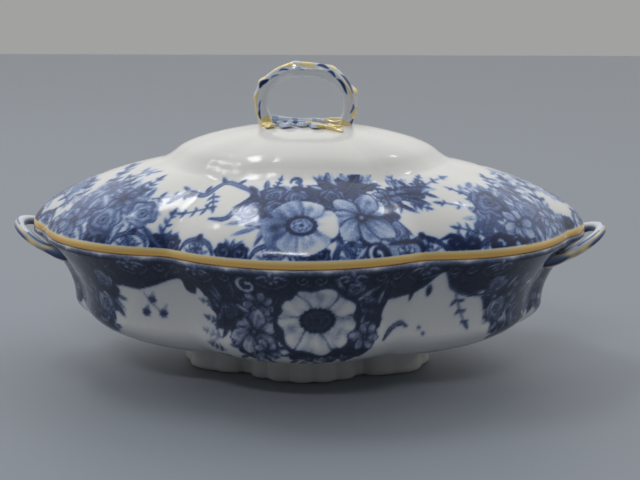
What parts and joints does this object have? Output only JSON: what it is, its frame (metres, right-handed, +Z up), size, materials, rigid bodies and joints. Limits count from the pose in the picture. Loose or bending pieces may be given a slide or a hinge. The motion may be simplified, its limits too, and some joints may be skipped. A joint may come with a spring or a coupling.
{
  "type": "soup tureen",
  "caption": "Oval lobed covered serving dish in printed glazed earthenware, with a lift-off domed lid, loop knob, end handles and scalloped foot ring.",
  "frame": {"origin": "middle of the foot ring's flat base, on the surface the dish stands on", "axes": "+X along the dish from handle to handle, +Y towards the back, -Y towards the front that faces the viewer, +Z up out of the lid"},
  "size_m": [0.3168, 0.2, 0.1624],
  "materials": {
    "printed_glaze": "gloss",
    "white_glaze": "gloss",
    "gilded_glaze": "gloss"
  },
  "bodies": {
    "dish": {"bowl": "printed_glaze", "foot_ring": "white_glaze", "left_handle": "gilded_glaze", "right_handle": "gilded_glaze"},
    "cover": {"lid": "printed_glaze", "lid_locating_rim": "white_glaze", "lid_loop_handle": "gilded_glaze", "lid_handle_sprig": "gilded_glaze"}
  },
  "joints": [
    {"name": "lid_lift", "type": "slide", "parent": "dish", "child": "cover", "axis": [0, 0, 1], "range_m": [0, 0.12]}
  ]
}
